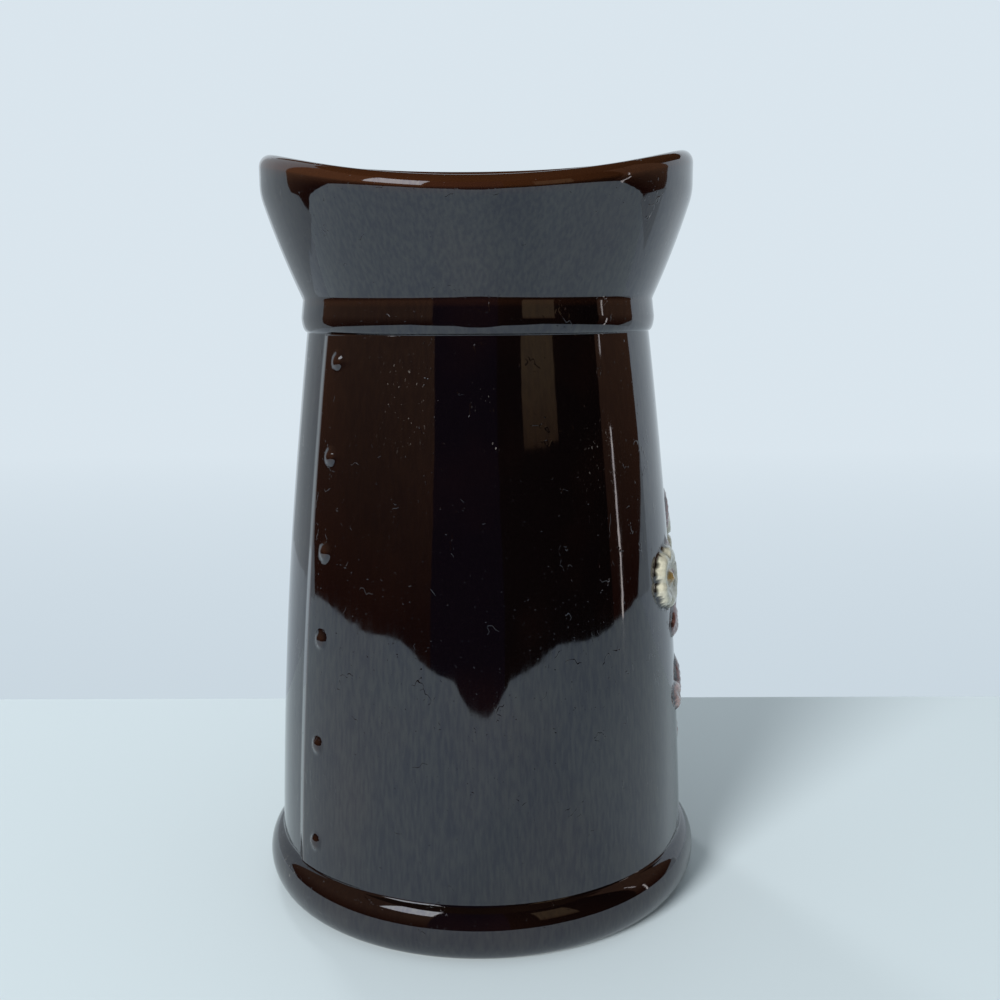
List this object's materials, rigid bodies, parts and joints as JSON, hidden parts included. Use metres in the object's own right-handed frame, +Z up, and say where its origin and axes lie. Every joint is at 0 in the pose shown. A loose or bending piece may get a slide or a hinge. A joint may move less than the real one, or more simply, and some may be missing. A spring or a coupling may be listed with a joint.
{
  "type": "pitcher",
  "caption": "Brown-glazed ceramic pitcher shaped like a riveted can, with a flared top, a dipped pouring lip, a strap handle and a moulded spray of wild roses on one side.",
  "frame": {"origin": "on the body's axis, at the middle of the flat underside", "axes": "+Z up along the body's axis, -Y towards the pouring lip, +Y towards the strap handle, +X towards the moulded spray, -X towards the lapped seam"},
  "size_m": [0.1324, 0.1682, 0.2185],
  "materials": {
    "brown_glaze": "gloss"
  },
  "bodies": {
    "root": {"pitcher": "brown_glaze"}
  },
  "joints": []
}
